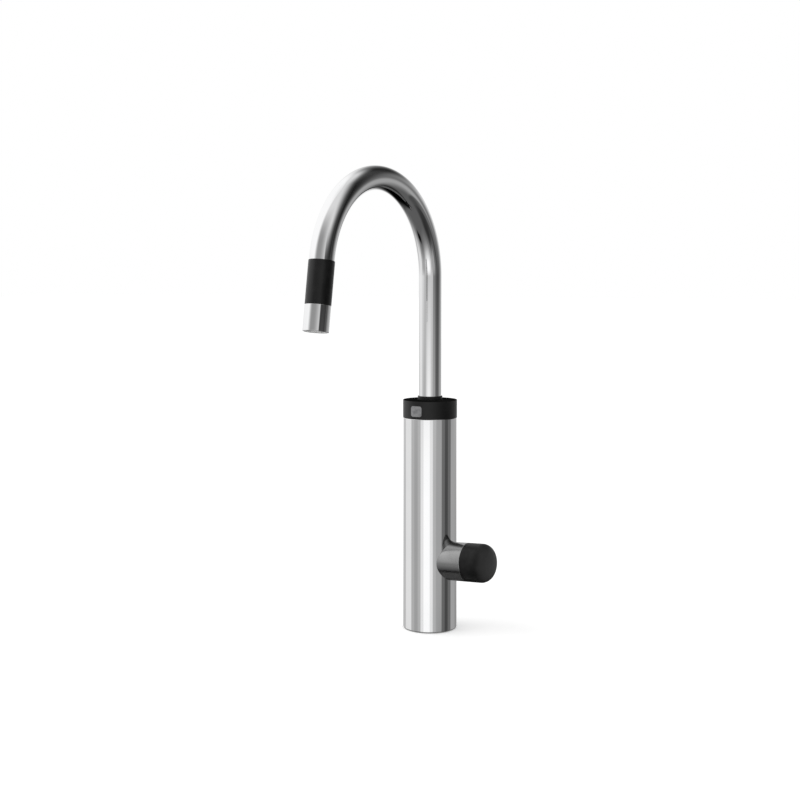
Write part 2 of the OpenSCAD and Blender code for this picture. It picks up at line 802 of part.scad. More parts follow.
module spout_spigot() {
    color(brass) difference() {
        union() {
            translate([0, 0, spout_spigot_z])
                cylinder(d = spout_spigot_d, h = spout_foot_z - spout_spigot_z);
            translate([0, 0, spout_foot_z - past]) cylinder(d = adapter_d, h = spout_neck_l + past);
        }
        translate([0, 0, spout_spigot_z - past]) cylinder(d = spout_way_d, h = collar_h + 2 * spout_neck_l);
        for (z = spout_seal_z) translate([0, 0, z]) seal_groove(spout_socket_d, small_seal_t);
        translate([0, 0, clip_z - clip_play])
            ring(spout_socket_d + 2, spout_spigot_d - 2 * clip_t, clip_t + 2 * clip_play);
    }
}

module spout_seals() {
    color(rubber) for (z = spout_seal_z) translate([0, 0, z]) seal(spout_socket_d, small_seal_t);
}

module spout_clip() {
    color(steel) translate([0, 0, clip_z]) difference() {
        ring(spout_socket_d + 2 * clip_bite, spout_spigot_d - 2 * clip_t + 2 * seat_fit, clip_t);
        translate([0, 0, -past]) wedge(spout_socket_d, 70, 110, clip_t + 2 * past);
    }
}

module spout_bush() {
    color(black) translate([0, 0, post_top_z + stand_gap]) difference() {
        union() {
            cylinder(d = bush_flange_d, h = bush_flange_t);
            bevelled(bush_d, collar_top_z + bush_proud - post_top_z, edge / 2, edge / 2);
        }
        translate([0, 0, -past]) cylinder(d = bush_bore_d, h = collar_h + bush_proud);
    }
}

// Space for the lens in the wall of the collar, grown by play on every side
module window_space(w, h, r, play) {
    translate([0, -body_d / 2 - 1, window_z])
        rounded_plate(w + 2 * play, h + 2 * play, r + play, body_d / 4);
}

module collar() {
    color(black) difference() {
        translate([0, 0, body_top_z]) bevelled(body_d, collar_h, edge / 2, edge);
        translate([0, 0, body_top_z - past]) difference() {
            cylinder(d = collar_bore_d, h = collar_h - collar_top_t + past);
            translate([0, 0, collar_h - collar_top_t + past - collar_boss_l])
                ring(post_d + 2 * seat_fit + 2 * collar_boss_t, post_d + 2 * seat_fit, collar_boss_l + past);
        }
        translate([0, 0, collar_top_z - 2 * collar_top_t]) cylinder(d = bush_d + 2 * seat_fit, h = collar_h);
        window_space(window_w, window_h, window_r, 0);
    }
}

module indicator_lens() {
    color([0.55, 0.56, 0.58]) union() {
        intersection() {
            window_space(window_w, window_h, window_r, -seat_fit);
            translate([0, 0, body_top_z]) ring(body_d - 2 * lens_recess, collar_bore_d - 0.2, collar_h);
        }
        intersection() {
            window_space(window_w, window_h, window_r, lens_flange);
            translate([0, 0, body_top_z])
                ring(collar_bore_d - 0.1, collar_bore_d - 2 * lens_flange_t, collar_h);
        }
    }
}

module indicator_carrier() {
    color([0.2, 0.2, 0.22]) difference() {
        translate([-carrier_w / 2, -board_y, body_top_z + stand_gap])
            cube([carrier_w, board_y - cell_y + carrier_back_t, window_z + board_h / 2 - body_top_z]);
        translate([0, -cell_y, cell_z]) rotate([90, 0, 0])
            cylinder(d = cell_d + 2 * seat_fit, h = cell_t + past);
    }
}

module indicator_board() {
    color("DarkGreen") translate([-board_w / 2, -board_y - board_t, window_z - board_h / 2])
        cube([board_w, board_t, board_h]);
}

module status_light() {
    color("White") translate([0, -board_y - board_t, window_z]) rotate([90, 0, 0])
        cylinder(d = light_d, h = light_l, $fn = fine);
}

module coin_cell() {
    color(steel) translate([0, -cell_y - stand_gap, cell_z]) rotate([90, 0, 0])
        cylinder(d = cell_d, h = cell_t);
}

module spout_tube() {
    color(chrome) union() {
        translate([0, 0, spout_foot_z]) ring(spout_d, spout_bore_d, spring_z - spout_foot_z);
        translate([0, -bend_r, spring_z]) rotate([90, 0, 90])
            rotate_extrude(angle = bend_angle) translate([bend_r, 0]) difference() {
                circle(d = spout_d);
                circle(d = spout_bore_d);
            }
    }
}

module nozzle_adapter() {
    color(brass) at_outlet() difference() {
        union() {
            translate([0, 0, run_fit]) cylinder(d = adapter_d, h = adapter_l - run_fit);
            translate([0, 0, -adapter_in_l])
                cylinder(d = adapter_d - 2 * bend_relief, h = adapter_in_l + past);
        }
        translate([0, 0, -adapter_in_l - past])
            cylinder(d = adapter_way_d, h = adapter_in_l + adapter_l + 2 * past);
    }
}

module nozzle_sleeve() {
    color(black) at_outlet(run_fit) difference() {
        bevelled(sleeve_d, sleeve_l - run_fit, edge, edge / 2);
        translate([0, 0, -past]) cylinder(d = adapter_d + 2 * seat_fit, h = sleeve_l + 2 * past);
    }
}

module nozzle_seal() {
    color(rubber) at_outlet(sleeve_l) ring(tip_bore_d + 2 * nozzle_seal_t, tip_bore_d, nozzle_seal_w);
}

module nozzle_tip() {
    color(chrome) at_outlet(sleeve_l) difference() {
        bevelled(tip_d, tip_l, edge / 2, 1.5 * edge);
        translate([0, 0, -past]) cylinder(d = tip_bore_d, h = tip_l + 2 * past);
        translate([0, 0, -past])
            cylinder(d = tip_bore_d + 2 * nozzle_seal_t + 2 * run_fit, h = nozzle_seal_w + run_fit + past);
    }
}

module aerator_gasket() {
    color(rubber) at_outlet(adapter_l) ring(aerator_d, adapter_way_d, aerator_gasket_t);
}

module aerator_housing() {
    color(white) at_outlet(aerator_w) difference() {
        cylinder(d = aerator_d, h = aerator_l);
        translate([0, 0, -past]) cylinder(d = aerator_bore_d, h = aerator_l + past - aerator_lip_t);
        translate([0, 0, -past]) cylinder(d = aerator_bore_d - 2 * aerator_lip_in, h = aerator_l + 2 * past);
    }
}

module aerator_core() {
    color("LightGray") at_outlet(aerator_w + core_inset) difference() {
        cylinder(d = aerator_bore_d - 2 * seat_fit, h = aerator_core_t);
        for (i = [0 : core_jets - 1]) rotate([0, 0, i * 360 / core_jets])
            translate([core_jet_r, 0, -past])
                cylinder(d = core_jet_d, h = aerator_core_t + 2 * past, $fn = fine);
    }
}

module aerator_screen() {
    reach = floor(core_jet_r / screen_pitch);
    color(steel) at_outlet(aerator_w + aerator_l - aerator_lip_t - screen_t) linear_extrude(screen_t)
        difference() {
            circle(d = aerator_bore_d - 2 * seat_fit);
            for (i = [-reach : reach], j = [-reach : reach])
                translate([i * screen_pitch, j * screen_pitch])
                    square(screen_pitch - screen_bar, center = true);
        }
}

deck_gasket();
base_block();
base_seal();
inlet_tube();
inlet_tube_seals();
body_shell();
valve_body();
headwork();
headwork_seal();
disc_seal();
fixed_disc();
turning_disc();
valve_stem();
stem_seals();
stop_ring();
hub();
knob();
knob_insert();
knob_screw();
capsule_housing();
capsule_lid();
carbon_block();
fleece_wrap();
core_tube();
lower_end_disc();
upper_end_disc();
core_seal();
capsule_lower_seal();
capsule_upper_seal();
head_block();
head_seal();
thrust_washer();
spout_spigot();
spout_seals();
spout_clip();
spout_bush();
collar();
indicator_lens();
indicator_carrier();
indicator_board();
status_light();
coin_cell();
spout_tube();
nozzle_adapter();
nozzle_sleeve();
nozzle_seal();
nozzle_tip();
aerator_gasket();
aerator_housing();
aerator_core();
aerator_screen();
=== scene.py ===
# %% [markdown]
# A tall drinking-water faucet with its filter inside: a polished cylinder on the counter, a black
# collar on top of it, a gooseneck spout and a knob low on the side. The solids come from the CAD
# model, which is loaded first and stays where it is. The pieces that show are modelled again here,
# with finer edges and smoother curves, and the ones inside keep their solid and get a better finish.

# %% Load the CAD model
import json
from math import atan2, cos, pi, radians, sin, sqrt

import bpy
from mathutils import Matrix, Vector

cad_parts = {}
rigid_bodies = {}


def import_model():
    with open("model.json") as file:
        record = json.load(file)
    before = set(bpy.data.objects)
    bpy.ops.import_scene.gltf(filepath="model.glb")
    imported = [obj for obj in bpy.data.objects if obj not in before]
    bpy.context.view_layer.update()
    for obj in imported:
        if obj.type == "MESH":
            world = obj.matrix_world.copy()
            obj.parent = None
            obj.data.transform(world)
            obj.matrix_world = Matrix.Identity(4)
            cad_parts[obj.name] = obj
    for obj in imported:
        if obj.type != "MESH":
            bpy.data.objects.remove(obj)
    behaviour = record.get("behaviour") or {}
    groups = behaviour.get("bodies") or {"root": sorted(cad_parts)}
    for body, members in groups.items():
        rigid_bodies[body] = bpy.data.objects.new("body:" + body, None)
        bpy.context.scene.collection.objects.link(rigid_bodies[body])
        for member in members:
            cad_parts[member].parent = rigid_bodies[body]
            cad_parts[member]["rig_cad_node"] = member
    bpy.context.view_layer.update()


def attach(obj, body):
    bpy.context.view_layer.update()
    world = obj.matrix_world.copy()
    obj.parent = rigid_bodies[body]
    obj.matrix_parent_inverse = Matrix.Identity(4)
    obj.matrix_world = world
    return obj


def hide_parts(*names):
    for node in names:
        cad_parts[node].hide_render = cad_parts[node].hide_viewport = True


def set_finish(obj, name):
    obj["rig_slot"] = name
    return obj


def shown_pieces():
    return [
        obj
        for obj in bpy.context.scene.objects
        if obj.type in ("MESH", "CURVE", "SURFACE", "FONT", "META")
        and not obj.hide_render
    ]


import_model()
MM = 0.001


def in_mm(place, digits=1):
    """A place or a size in metres as rounded millimetres, for printing."""
    return [round(value / MM, digits) for value in place]


# %% [markdown]
# Blender's operators act on whatever is selected, and the loader leaves the whole CAD model
# selected. So every piece starts from an empty selection, and inside a piece the vertices, edges
# or faces to work on are picked in code by their place.

# %% Select nothing, one piece, or parts of a piece by their place
PICK_MODES = {"vertices": "VERT", "edges": "EDGE", "polygons": "FACE"}


def clear():
    if bpy.context.mode != "OBJECT":
        bpy.ops.object.mode_set(mode="OBJECT")
    bpy.ops.object.select_all(action="DESELECT")


def only(piece):
    """Selects one piece alone and makes it the one that operators and modifiers work on."""
    clear()
    piece.select_set(True)
    bpy.context.view_layer.objects.active = piece


def pick(piece, kind, test):
    """Selects the vertices, edges or faces whose corners all pass the test, and stays in edit mode."""
    bpy.ops.object.mode_set(mode="EDIT")
    bpy.ops.mesh.select_mode(type=PICK_MODES[kind])
    bpy.ops.mesh.select_all(action="DESELECT")
    bpy.ops.object.mode_set(mode="OBJECT")
    mesh, place = piece.data, piece.matrix_world
    passing = [test(place @ vertex.co) for vertex in mesh.vertices]
    for item in getattr(mesh, kind):
        corners = [item.index] if kind == "vertices" else item.vertices
        item.select = all(passing[corner] for corner in corners)
    bpy.ops.object.mode_set(mode="EDIT")


clear()
print("objects selected after clearing:", len(bpy.context.selected_objects))

# %% [markdown]
# Every piece here begins as one of Blender's primitives and ends with its place in its mesh and its
# object at the origin, as the CAD pieces have it. A full spin joins its last ring to its first, but
# a corner on the axis comes out once for every step, and the skin may be inside out. So such points
# are merged before the faces are turned outwards.

# %% Begin and end a piece
TOUCH = 1e-6  # metres; points closer than this are one point
ON_RIM = 1e-5  # metres; points closer than this to a rim lie on it


def started(name):
    """Names the primitive that was just added."""
    piece = bpy.context.object
    piece.name = piece.data.name = name
    return piece


def close_skin():
    bpy.ops.mesh.select_all(action="SELECT")
    bpy.ops.mesh.remove_doubles(threshold=TOUCH)
    bpy.ops.mesh.normals_make_consistent(inside=False)


def settle():
    """Leaves edit mode and moves the object's place into its mesh."""
    bpy.ops.object.mode_set(mode="OBJECT")
    bpy.ops.object.transform_apply(location=True, rotation=True, scale=True)


print(f"points closer than {TOUCH / MM} mm are merged")

# %% [markdown]
# Most of a faucet is turned on a lathe, and a spin does the same in Blender: half of the cross
# section is drawn as a line and swept once round its axis. The line starts as one vertex, which is
# extruded from corner to corner. A corner that is broken on the real part is bevelled while it is
# still a line, because then every ring of the bevel comes out even.

# %% Turn an outline on a lathe
UPRIGHT = Vector((0, 0, 0)), Vector((0, 0, 1)), Vector((1, 0, 0))
BEVEL_STEPS = 4


def at(corner, foot, axis, side):
    """A corner of an outline, (radius, height) in mm, as a place in metres."""
    return foot + side * (corner[0] * MM) + axis * (corner[1] * MM)


def turned(name, outline, stand=UPRIGHT, steps=128):
    """Spins an outline of (radius, height) or (radius, height, bevel) corners into a closed solid.

    The stand is where height 0 lies, the axis, and the side on which the outline is drawn.
    """
    foot, axis, side = stand
    clear()
    places = [at(corner, foot, axis, side) for corner in outline]
    bpy.ops.mesh.primitive_plane_add(size=MM, location=places[0])
    piece = started(name)
    bpy.ops.object.mode_set(mode="EDIT")
    bpy.ops.mesh.select_mode(type="VERT")
    bpy.ops.mesh.select_all(action="SELECT")
    bpy.ops.mesh.merge(type="CENTER")
    for here, there in zip(places, places[1:]):
        bpy.ops.mesh.extrude_region_move(TRANSFORM_OT_translate={"value": there - here})
    if outline[0][0] > 0:
        ends = places[0], places[-1]
        pick(piece, "vertices", lambda p: min((p - end).length for end in ends) < TOUCH)
        bpy.ops.mesh.edge_face_add()
    for corner, place in zip(outline, places):
        if len(corner) > 2:
            pick(piece, "vertices", lambda p: (p - place).length < TOUCH)
            bpy.ops.mesh.bevel(offset=corner[2] * MM, segments=BEVEL_STEPS, affect="VERTICES")
    bpy.ops.mesh.select_all(action="SELECT")
    bpy.ops.mesh.spin(steps=steps, angle=2 * pi, center=foot, axis=axis)
    close_skin()
    settle()
    return piece


def ring(inner, outer, start, end):
    """The outline of a plain ring, or of a solid plug where the inner radius is 0."""
    return [(inner, start), (outer, start), (outer, end), (inner, end)]


print("a bevel in an outline gets", BEVEL_STEPS, "steps")

# %% [markdown]
# Holes and windows are cut with a second mesh and a Boolean modifier, which is applied at once.
# Then the piece is shaded smooth up to an angle, and a Weighted Normal modifier lets the large
# faces decide how light bounces, so that a bevel doesn't bend the reflections of the face beside it.

# %% Cut one mesh with another, and finish the shading
SMOOTH_UP_TO = 40  # degrees between two faces
LARGE_FACES = 90  # how far large faces win over small ones, of 100


def apply_modifier(piece, kind, **settings):
    """Gives the active piece one modifier and applies it at once."""
    modifier = piece.modifiers.new(kind.lower(), kind)
    for name, value in settings.items():
        setattr(modifier, name, value)
    bpy.ops.object.modifier_apply(modifier=modifier.name)


def cut(piece, cutter, operation="DIFFERENCE"):
    only(piece)
    apply_modifier(piece, "BOOLEAN", object=cutter, operation=operation, solver="EXACT")
    bpy.data.objects.remove(cutter)


def smooth(piece):
    only(piece)
    bpy.ops.object.shade_smooth_by_angle(angle=radians(SMOOTH_UP_TO))
    apply_modifier(piece, "WEIGHTED_NORMAL", keep_sharp=True, weight=LARGE_FACES)


def in_place(piece, body, node, slot):
    """The finished piece rides on a body, stands for its CAD node and belongs to a material slot."""
    smooth(piece)
    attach(piece, body)
    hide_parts(node)
    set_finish(piece, slot)
    size = in_mm(piece.dimensions, 2)
    print(f"{piece.name}: {len(piece.data.polygons)} faces, {size} mm, in place of {node}")


print("edges stay sharp above", SMOOTH_UP_TO, "degrees")

# %% [markdown]
# The handle stands out of the body to the side and leans up by 3 degrees, so its pieces are turned
# about their own axis. The water leaves along another axis, the tangent at the end of the bend.

# %% The two slanted axes
HANDLE_LEAN = radians(3)
HANDLE_FOOT = Vector((0, 0, 63 * MM))
HANDLE_AXIS = Vector((cos(HANDLE_LEAN), 0, sin(HANDLE_LEAN)))
HANDLE_SIDE = Vector((0, 1, 0))
HANDLE = HANDLE_FOOT, HANDLE_AXIS, HANDLE_SIDE

BEND_RADIUS, BEND_ANGLE, SPRING_Z = 85, radians(171.5), 326
OUTLET_FOOT = MM * Vector((
    0, BEND_RADIUS * (cos(BEND_ANGLE) - 1), SPRING_Z + BEND_RADIUS * sin(BEND_ANGLE)))
OUTLET = OUTLET_FOOT, Vector((0, -sin(BEND_ANGLE), cos(BEND_ANGLE))), Vector((1, 0, 0))
print("the tube's bend ends at", in_mm(OUTLET_FOOT, 2), "mm")

# %% [markdown]
# The body is a length of thin-walled tube. It could be spun from an outline too, but a cylinder is
# the shorter way to a plain tube: it loses its two ends, gets its wall with Solidify, has its rims
# broken by a small bevel, and is drilled where the handle goes in.

# %% Body shell
BODY_RADIUS, SHELL_WALL, SHELL_FOOT, SHELL_TOP = 25, 1.6, 0.8, 196
RIM_BEVEL = 0.4
HUB_BORE = 12.15


def shell():
    clear()
    middle, length = (SHELL_FOOT + SHELL_TOP) / 2, SHELL_TOP - SHELL_FOOT
    bpy.ops.mesh.primitive_cylinder_add(
        vertices=192, radius=BODY_RADIUS * MM, depth=length * MM, end_fill_type="NGON",
        location=(0, 0, middle * MM))
    piece = started("polished_body")
    for end in (SHELL_FOOT, SHELL_TOP):
        pick(piece, "polygons", lambda p: abs(p.z - end * MM) < ON_RIM)
        bpy.ops.mesh.delete(type="FACE")
    settle()
    apply_modifier(piece, "SOLIDIFY", thickness=SHELL_WALL * MM, offset=-1)
    outside = (BODY_RADIUS - SHELL_WALL / 2) * MM
    for rim in (SHELL_FOOT, SHELL_TOP):
        pick(piece, "edges", lambda p: p.xy.length > outside and abs(p.z - rim * MM) < ON_RIM)
        bpy.ops.mesh.bevel(offset=RIM_BEVEL * MM, segments=BEVEL_STEPS, affect="EDGES")
    bpy.ops.object.mode_set(mode="OBJECT")
    return piece


body = shell()
cut(body, turned("drill", ring(0, HUB_BORE, 0, 50), HANDLE, 64))
in_place(body, "stand", "body_shell", "chrome")

# %% [markdown]
# A thin pale ring seals the foot of the faucet to the counter. Only its edge shows, as a light line
# under the body, so a plain ring with a soft edge is enough.

# %% Deck gasket
GASKET_EDGE = 24.4
gasket = turned("foot_ring", [
    (20, 0), (GASKET_EDGE, 0, 0.2), (GASKET_EDGE, SHELL_FOOT, 0.2), (20, SHELL_FOOT)])
in_place(gasket, "stand", "deck_gasket", "rubber")

# %% [markdown]
# The collar is a black moulded cap with a ring under its top that centres it on the post inside.
# Its window is a rounded block taken away from the front wall. A block is used, not an inset in
# the wall, because it gives the hole straight sides and even corners in a wall that is curved.

# %% Collar
COLLAR_BORE, COLLAR_CEILING, COLLAR_TOP = 23, 210.2, 212.4
BUSH_HOLE, POST_SEAT = 11.55, 13.6
WINDOW_MIDDLE = Vector((0, -23, 203.1)) * MM
WINDOW_DEPTH, WINDOW_CORNER_STEPS = 12, 10


def rounded_block(name, width, height, corner):
    """A cutter at the window's place, with its four edges along Y rounded."""
    clear()
    size = width * MM, WINDOW_DEPTH * MM, height * MM
    bpy.ops.mesh.primitive_cube_add(size=1, location=WINDOW_MIDDLE, scale=size)
    block = started(name)
    settle()
    bpy.ops.object.mode_set(mode="EDIT")
    bpy.ops.mesh.select_mode(type="EDGE")
    bpy.ops.mesh.select_all(action="DESELECT")
    bpy.ops.object.mode_set(mode="OBJECT")
    for edge in block.data.edges:
        start, end = (block.data.vertices[index].co for index in edge.vertices)
        edge.select = abs(start.y - end.y) > WINDOW_DEPTH * MM / 2
    bpy.ops.object.mode_set(mode="EDIT")
    bpy.ops.mesh.bevel(offset=corner * MM, segments=WINDOW_CORNER_STEPS, affect="EDGES")
    bpy.ops.object.mode_set(mode="OBJECT")
    return block


collar = turned("collar_cap", [
    (COLLAR_BORE, SHELL_TOP), (BODY_RADIUS, SHELL_TOP, 0.2), (BODY_RADIUS, COLLAR_TOP, 0.4),
    (BUSH_HOLE, COLLAR_TOP, 0.15), (BUSH_HOLE, COLLAR_CEILING), (POST_SEAT, COLLAR_CEILING),
    (POST_SEAT, 205.2), (15.1, 205.2), (15.1, COLLAR_CEILING), (COLLAR_BORE, COLLAR_CEILING)], steps=192)
cut(collar, rounded_block("window", 11.5, 10, 2.2))
in_place(collar, "stand", "collar", "black_plastic")

# %% [markdown]
# The lens fills the window and has a wider flange behind the wall that keeps it from falling out.
# Both are cut out of a ring with the same kind of block, a little smaller for the lens and larger
# for the flange, so that they are curved like the wall round them.

# %% Indicator lens
lens = turned("lens_plate", ring(22.9, 24.85, 197, 209), steps=192)
cut(lens, rounded_block("lens_edge", 11.2, 9.7, 2.05), "INTERSECT")
flange = turned("lens_flange", ring(22.2, 22.95, 196.5, 209.7), steps=192)
cut(flange, rounded_block("flange_edge", 13.5, 12, 3.2), "INTERSECT")
cut(lens, flange, "UNION")
in_place(lens, "stand", "indicator_lens", "lens")

# %% [markdown]
# Where the tube leaves the collar a dark bush stands a little proud. Its flange sits under the
# collar's top and keeps it from being pulled out. All of it is round, so it is turned in one go.

# %% Spout bush
BUSH_BORE, BUSH_RADIUS, BUSH_TOP = 10.55, 11.4, 215.85
FLANGE_RADIUS, FLANGE_FOOT, FLANGE_TOP = 12.95, 209.05, 210.15
bush = turned("spout_ring", [
    (BUSH_BORE, FLANGE_FOOT), (FLANGE_RADIUS, FLANGE_FOOT), (FLANGE_RADIUS, FLANGE_TOP),
    (BUSH_RADIUS, FLANGE_TOP), (BUSH_RADIUS, BUSH_TOP, 0.25), (BUSH_BORE, BUSH_TOP, 0.2)])
in_place(bush, "stand", "spout_bush", "black_plastic")

# %% [markdown]
# The spout is one polished tube. A curve with a round bevel would give it too, but here it is made
# as the tube itself is: a circle of its outer size is extruded up the straight leg, and the ring at
# its top is spun about the middle of the bend, as a tube is bent round a former. Its wall comes
# from Solidify.

# %% Spout tube
TUBE_RADIUS, TUBE_WALL, TUBE_FOOT = 10.5, 1.2, 211
BEND_STEPS = 128


def gooseneck():
    clear()
    bpy.ops.mesh.primitive_circle_add(
        vertices=96, radius=TUBE_RADIUS * MM, fill_type="NOTHING", location=(0, 0, TUBE_FOOT * MM))
    piece = started("gooseneck")
    bpy.ops.object.mode_set(mode="EDIT")
    bpy.ops.mesh.select_all(action="SELECT")
    leg = (0, 0, (SPRING_Z - TUBE_FOOT) * MM)
    bpy.ops.mesh.extrude_region_move(TRANSFORM_OT_translate={"value": leg})
    former = (0, -BEND_RADIUS * MM, SPRING_Z * MM)
    bpy.ops.mesh.spin(steps=BEND_STEPS, angle=-BEND_ANGLE, center=former, axis=(1, 0, 0))
    close_skin()
    settle()
    print("the tube's skin has", len(piece.data.polygons), "faces before it gets its wall")
    apply_modifier(piece, "SOLIDIFY", thickness=TUBE_WALL * MM, offset=-1)
    return piece


in_place(gooseneck(), "spout", "spout_tube", "chrome")

# %% [markdown]
# A black grip sleeve covers the joint between the tube and the nozzle, and a polished tip holds the
# aerator. They lean by 8.5 degrees, so they could be turned upright and then tilted. But with the
# outlet's own axis for the lathe they come out in place, and height 0 is the end of the bend.

# %% Nozzle sleeve, tip and aerator housing
NOZZLE_RADIUS, ADAPTER_RADIUS, TUBE_BORE = 10.9, 9.95, 9.3
SLEEVE_END, TIP_END, AERATOR_TOP, AERATOR_END = 36.5, 58.5, 47.5, 57.5
sleeve = turned("grip_sleeve", [
    (TUBE_BORE, 0.05), (NOZZLE_RADIUS, 0.05, 0.4), (NOZZLE_RADIUS, SLEEVE_END, 0.2),
    (TUBE_BORE, SLEEVE_END)], OUTLET)
in_place(sleeve, "spout", "nozzle_sleeve", "black_grip")

SEAL_SEAT = SLEEVE_END + 0.65
tip = turned("nozzle_end", [
    (ADAPTER_RADIUS, SLEEVE_END), (NOZZLE_RADIUS, SLEEVE_END, 0.2), (NOZZLE_RADIUS, TIP_END, 0.6),
    (TUBE_BORE, TIP_END, 0.3), (TUBE_BORE, SEAL_SEAT), (ADAPTER_RADIUS, SEAL_SEAT)], OUTLET)
in_place(tip, "spout", "nozzle_tip", "chrome")

HOUSING_RADIUS, HOUSING_BORE, LIP_BORE, LIP_TOP = 9.15, 7.65, 6.65, AERATOR_END - 1
housing = turned("aerator_ring", [
    (HOUSING_BORE, AERATOR_TOP), (HOUSING_RADIUS, AERATOR_TOP), (HOUSING_RADIUS, AERATOR_END, 0.3),
    (LIP_BORE, AERATOR_END, 0.3), (LIP_BORE, LIP_TOP), (HOUSING_BORE, LIP_TOP)], OUTLET, steps=96)
in_place(housing, "spout", "aerator_housing", "white_plastic")

# %% [markdown]
# The hub is the polished round block that the knob sits on. It is turned about the handle's axis
# and its foot is cut with the round of the body, so that it fits the body like a saddle. The curve
# in which the two meet would be hard to draw, and the Boolean finds it.

# %% Handle hub
HANDLE_RADIUS, STEM_HOLE, HUB_CEILING, HUB_FACE = 17.6, 4.3, 39.3, 41.3
hub = turned("handle_hub", [
    (STEM_HOLE, HUB_CEILING), (HUB_BORE, HUB_CEILING), (HUB_BORE, 10), (HANDLE_RADIUS, 10),
    (HANDLE_RADIUS, HUB_FACE, 0.4), (STEM_HOLE, HUB_FACE, 0.2)], HANDLE, 160)
cut(hub, turned("saddle", ring(0, BODY_RADIUS + 0.05, 0, SHELL_TOP), steps=192))
in_place(hub, "stand", "hub", "chrome")

# %% [markdown]
# The knob is one black moulding: a straight side, a rounded edge of 10 mm radius and a slightly
# domed end of 38 mm radius. A bevel would give the edge too, but not one that runs into the dome
# without a crease, so both arcs are worked out and meet at their common tangent. The knob is hollow
# behind, with a boss for the metal insert, and a small screw goes in from below.

# %% Knob
KNOB_FACE, KNOB_LENGTH, KNOB_EDGE, KNOB_DOME = 41.6, 25, 10, 38
INSERT_HOLE, BOSS_RADIUS, KNOB_BORE = 5.65, 8, 15.2
SCREW_HOLE = 2.15


def arc(middle, radius, start, end, steps):
    """Corners of an outline along an arc from one angle to another, both ends included."""
    angles = [start + (end - start) * step / steps for step in range(steps + 1)]
    return [(middle[0] + radius * cos(angle), middle[1] + radius * sin(angle)) for angle in angles]


def knob_outline():
    """Half of the knob's section, from the blind end of the insert's hole round to the pole."""
    edge_x, dome_z = HANDLE_RADIUS - KNOB_EDGE, KNOB_LENGTH - KNOB_DOME
    edge_z = dome_z + sqrt((KNOB_DOME - KNOB_EDGE) ** 2 - edge_x ** 2)
    tangent = atan2(edge_z - dome_z, edge_x)
    inside = [
        (0, 12), (INSERT_HOLE, 12), (INSERT_HOLE, 0.5, 0.3), (BOSS_RADIUS, 0.5, 0.3), (BOSS_RADIUS, 13.5),
        (KNOB_BORE, 13.5), (KNOB_BORE, 0), (HANDLE_RADIUS, 0, 0.4)]
    edge = arc((edge_x, edge_z), KNOB_EDGE, 0, tangent, 24)
    dome = arc((0, dome_z), KNOB_DOME, tangent, pi / 2, 6)[1:-1]
    section = [*inside, *edge, *dome, (0, KNOB_LENGTH)]
    return [(corner[0], corner[1] + KNOB_FACE, *corner[2:]) for corner in section]


knob = turned("knob_cap", knob_outline(), HANDLE)
screw_foot = HANDLE_FOOT + HANDLE_AXIS * (47.6 * MM)
screw_axis = Vector((sin(HANDLE_LEAN), 0, -cos(HANDLE_LEAN)))
cut(knob, turned("screw_hole", ring(0, SCREW_HOLE, 3, 20), (screw_foot, screw_axis, HANDLE_SIDE), 48))
in_place(knob, "handle", "knob", "black_plastic")

# %% [markdown]
# A finish is a network of shader nodes. To keep the networks readable, a small helper adds a node,
# sets its values and joins its inputs, and a few more do the steps that come back everywhere. Every
# material starts from the same plain shader.

# %% Helpers for materials
def node(tree, kind, values=None, **settings):
    """Adds a node, sets its own settings, and fills sockets by value or by a link from another node."""
    made = tree.nodes.new(kind)
    for name, value in settings.items():
        setattr(made, name, value)
    for name, value in (values or {}).items():
        socket = made.inputs[name]
        if isinstance(value, bpy.types.NodeSocket):
            tree.links.new(value, socket)
        else:
            socket.default_value = value
    return made


def on_piece(tree):
    """Where a point of the surface lies on its piece. It stays the same when the piece moves."""
    return node(tree, "ShaderNodeTexCoord").outputs["Object"]


def noise(tree, place, size, **values):
    return node(tree, "ShaderNodeTexNoise", {"Vector": place, "Scale": size, **values}).outputs[0]


def worked_out(tree, operation, *values):
    """One step of arithmetic on numbers or links."""
    return node(tree, "ShaderNodeMath", dict(enumerate(values)), operation=operation).outputs[0]


def masked(tree, value, start, end, curve="LINEAR"):
    """Turns a value into a mask that is 0 at the start and 1 at the end."""
    limits = {"Value": value, "From Min": start, "From Max": end}
    return node(tree, "ShaderNodeMapRange", limits, interpolation_type=curve).outputs[0]


def spread(tree, mask, low, high):
    """Turns a mask between 0 and 1 into a value between low and high."""
    return node(tree, "ShaderNodeMapRange", {"Value": mask, "To Min": low, "To Max": high}).outputs[0]


def blended(tree, mask, low, high):
    """Goes from one number or link to another as the mask goes from 0 to 1."""
    return node(tree, "ShaderNodeMix", {"Factor": mask, "A": low, "B": high}).outputs[0]


def tinted(tree, mask, colour, other):
    """The same for two colours."""
    values = {"Factor": mask, "A": colour, "B": other}
    return node(tree, "ShaderNodeMix", values, data_type="RGBA").outputs["Result"]


def material(name, **values):
    """A material with one Principled shader whose own sockets hold what is the same all over."""
    made = bpy.data.materials.new(name)
    made.use_nodes = True
    tree = made.node_tree
    tree.nodes.clear()
    shader = tree.nodes.new("ShaderNodeBsdfPrincipled")
    tree.links.new(shader.outputs[0], tree.nodes.new("ShaderNodeOutputMaterial").inputs[0])
    for socket, value in values.items():
        shader.inputs[socket.replace("_", " ")].default_value = value
    return made, tree, shader.inputs


print("materials in the CAD model:", len(bpy.data.materials))

# %% [markdown]
# Three effects come back in many of the finishes, so each is a node group: fine scratches from
# wiping, soft smudges left by hands and water, and the grain of a moulding. Each gives a mask or a
# height that varies over the surface, and the material decides what to do with it.

